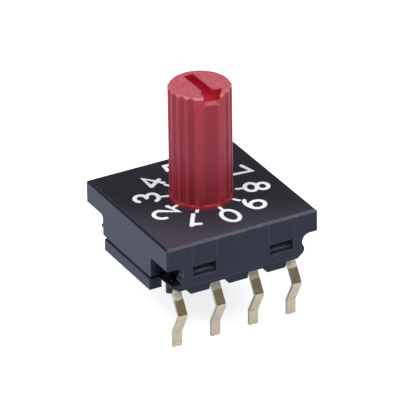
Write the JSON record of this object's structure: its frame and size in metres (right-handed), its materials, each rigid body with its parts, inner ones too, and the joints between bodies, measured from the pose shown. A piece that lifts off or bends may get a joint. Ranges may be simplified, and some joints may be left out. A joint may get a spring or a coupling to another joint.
{
  "type": "rotary dip switch",
  "caption": "Square board-mounted rotary code switch with a tall fluted spindle, an arrow-shaped screwdriver slot, a latched cover and kinked solder terminals.",
  "frame": {"origin": "on the spindle axis, in the plane of the printed board's upper face that the switch's feet stand on; the centre of the terminal pattern", "axes": "+Z along the spindle, away from the board; -Y towards the row of four terminals and position 0; +X along that row"},
  "size_m": [0.01, 0.01, 0.0145],
  "materials": {
    "cover_plastic": "moulded, fine matt",
    "base_plastic": "moulded, fine matt",
    "rotor_plastic": "moulded, satin",
    "seal_rubber": "smooth",
    "spring_steel": "rolled strip",
    "contact_metal": "plated",
    "terminal_metal": "pale gold plating"
  },
  "bodies": {
    "housing": {"cover": "cover_plastic", "base": "base_plastic", "detent_spring": "spring_steel", "terminal_1": "terminal_metal", "terminal_2": "terminal_metal", "terminal_4": "terminal_metal", "terminal_8": "terminal_metal", "terminal_common": "terminal_metal"},
    "rotor": {"rotor": "rotor_plastic", "code_disc": "contact_metal", "seal_ring": "seal_rubber"}
  },
  "joints": [
    {"name": "rotor_turn", "type": "hinge", "parent": "housing", "child": "rotor", "pos_m": [0, 0, 0], "axis": [0, 0, 1], "continuous": true, "deforming": ["detent_spring"]}
  ]
}
